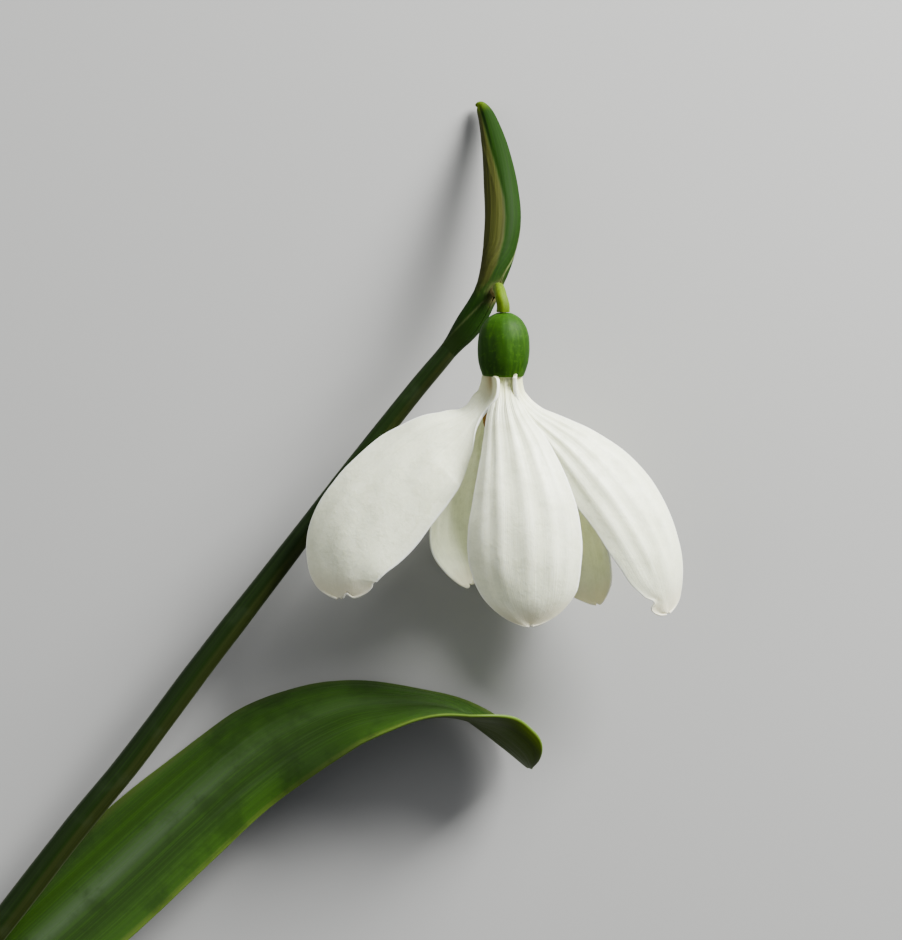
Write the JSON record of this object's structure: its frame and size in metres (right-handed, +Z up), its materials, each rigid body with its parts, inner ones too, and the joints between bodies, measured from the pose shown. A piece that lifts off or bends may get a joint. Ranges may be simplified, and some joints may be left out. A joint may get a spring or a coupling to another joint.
{
  "type": "snowdrop flower",
  "caption": "Nodding snowdrop with equal white petals on a curved green stem, with spathe, arched leaf and papery base sheath, lying down.",
  "frame": {"origin": "middle of the bounding box, on the surface the flower lies on", "axes": "+Z up from the surface, +Y from the cut end towards the tip of the spathe, +X to the side the flower hangs to"},
  "size_m": [0.1082, 0.1328, 0.0218],
  "materials": {
    "petal": "thin, satin, slightly translucent white petal with fine lengthwise veins",
    "stamen": "dull orange anther on a short pale filament",
    "style": "smooth pale green",
    "ovary": "waxy mid green with fine lengthwise streaks",
    "pedicel": "smooth yellow-green",
    "spathe": "green keels with a pale striped membrane between them",
    "stem": "satin dark green with an olive streak",
    "leaf": "satin green with a greyer middle band and a pale margin",
    "sheath": "papery, pale cream with fine veins"
  },
  "bodies": {
    "root": {"outer_petal_left": "petal", "outer_petal_right": "petal", "outer_petal_back": "petal", "inner_petal_front": "petal", "inner_petal_back_left": "petal", "inner_petal_back_right": "petal", "stamen_1": "stamen", "stamen_2": "stamen", "stamen_3": "stamen", "stamen_4": "stamen", "stamen_5": "stamen", "stamen_6": "stamen", "style": "style", "ovary": "ovary", "pedicel": "pedicel", "spathe": "spathe", "stem": "stem", "leaf": "leaf", "base_sheath": "sheath"}
  },
  "joints": []
}
